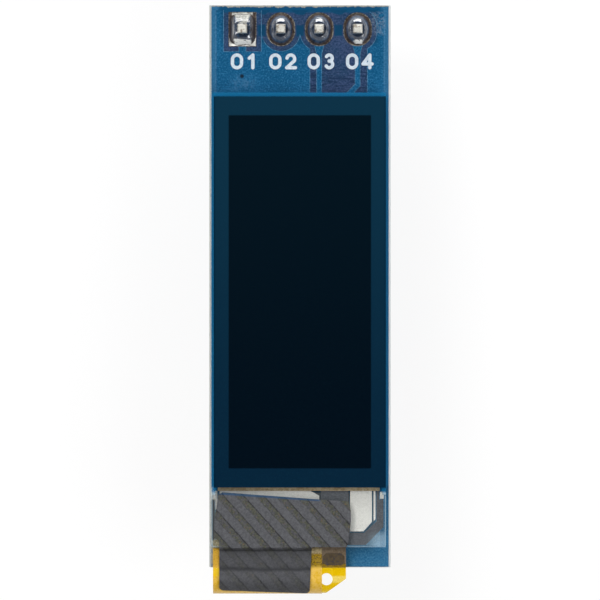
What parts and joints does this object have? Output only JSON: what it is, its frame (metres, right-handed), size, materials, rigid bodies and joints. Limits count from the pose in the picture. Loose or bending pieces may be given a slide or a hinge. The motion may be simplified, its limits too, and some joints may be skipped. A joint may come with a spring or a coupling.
{
  "type": "small oled display module",
  "caption": "Narrow circuit board with a pin header, carrying a slim glass display whose film folds round the board's end to its back.",
  "frame": {"origin": "middle of the pin row on the header housing's outer face, where it seats on a socket", "axes": "+Z out of the display's face, +Y along the board towards the header, +X across the board"},
  "size_m": [0.012, 0.0389, 0.0113],
  "materials": {
    "board_core": "glass fibre laminate, sawn edge",
    "copper": "bare copper under the mask",
    "solder_mask": "blue lacquer, satin gloss",
    "white_ink": "printed ink",
    "pad_plating": "tinned",
    "pin_metal": "tinned square wire",
    "header_black": "moulded",
    "solder": "bright, smooth, with brown flux round the foot",
    "display_glass": "clear, polished faces and ground edges",
    "polarizer": "dark blue film, near black over the cathode",
    "emitter": "thin film, unlit",
    "cathode": "thin metal film",
    "seal": "tan sealing resin",
    "desiccant": "white absorbent sheet",
    "foam_tape": "double sided tape",
    "silicon": "polished chip",
    "contact_metal": "bright thin metal on glass",
    "track_metal": "dark fine tracks on glass",
    "amber_film": "translucent amber film",
    "lead_copper": "etched copper leads",
    "dark_ink": "printed patch",
    "cover_tape": "dark grey, ribbed, matte",
    "terminal_tin": "tinned ends",
    "capacitor_ceramic": "tan ceramic",
    "resistor_ceramic": "black glazed top",
    "moulded_black": "moulded resin"
  },
  "bodies": {
    "root": {"back_copper": "copper", "back_markings": "white_ink", "back_solder_mask": "solder_mask", "cap_glass": "display_glass", "capacitor_1": "capacitor_ceramic", "capacitor_2": "capacitor_ceramic", "capacitor_3": "capacitor_ceramic", "capacitor_4": "capacitor_ceramic", "capacitor_5": "capacitor_ceramic", "capacitor_6": "capacitor_ceramic", "capacitor_7": "capacitor_ceramic", "capacitor_terminals": "terminal_tin", "cathode_film": "cathode", "circuit_board": "board_core", "contact_plates": "contact_metal", "cover_tape": "cover_tape", "desiccant_sheet": "desiccant", "diode_body": "moulded_black", "diode_leads": "terminal_tin", "display_glass": "display_glass", "driver_chip": "silicon", "ear_patch": "dark_ink", "emitter_layer": "emitter", "flex_coverlay": "amber_film", "flex_film": "amber_film", "flex_leads": "lead_copper", "front_copper": "copper", "front_solder_mask": "solder_mask", "header_housing": "header_black", "header_pin_1": "pin_metal", "header_pin_2": "pin_metal", "header_pin_3": "pin_metal", "header_pin_4": "pin_metal", "mounting_tape": "foam_tape", "pad_1": "pad_plating", "pad_2": "pad_plating", "pad_3": "pad_plating", "pad_4": "pad_plating", "part_solder": "solder", "pin_numbers": "white_ink", "polarizer": "polarizer", "regulator_body": "moulded_black", "regulator_leads": "terminal_tin", "resistor_1": "resistor_ceramic", "resistor_2": "resistor_ceramic", "resistor_3": "resistor_ceramic", "resistor_4": "resistor_ceramic", "resistor_terminals": "terminal_tin", "seal_bead": "seal", "solder_joint_1": "solder", "solder_joint_2": "solder", "solder_joint_3": "solder", "solder_joint_4": "solder", "tail_solder": "solder", "track_bands": "track_metal"}
  },
  "joints": []
}
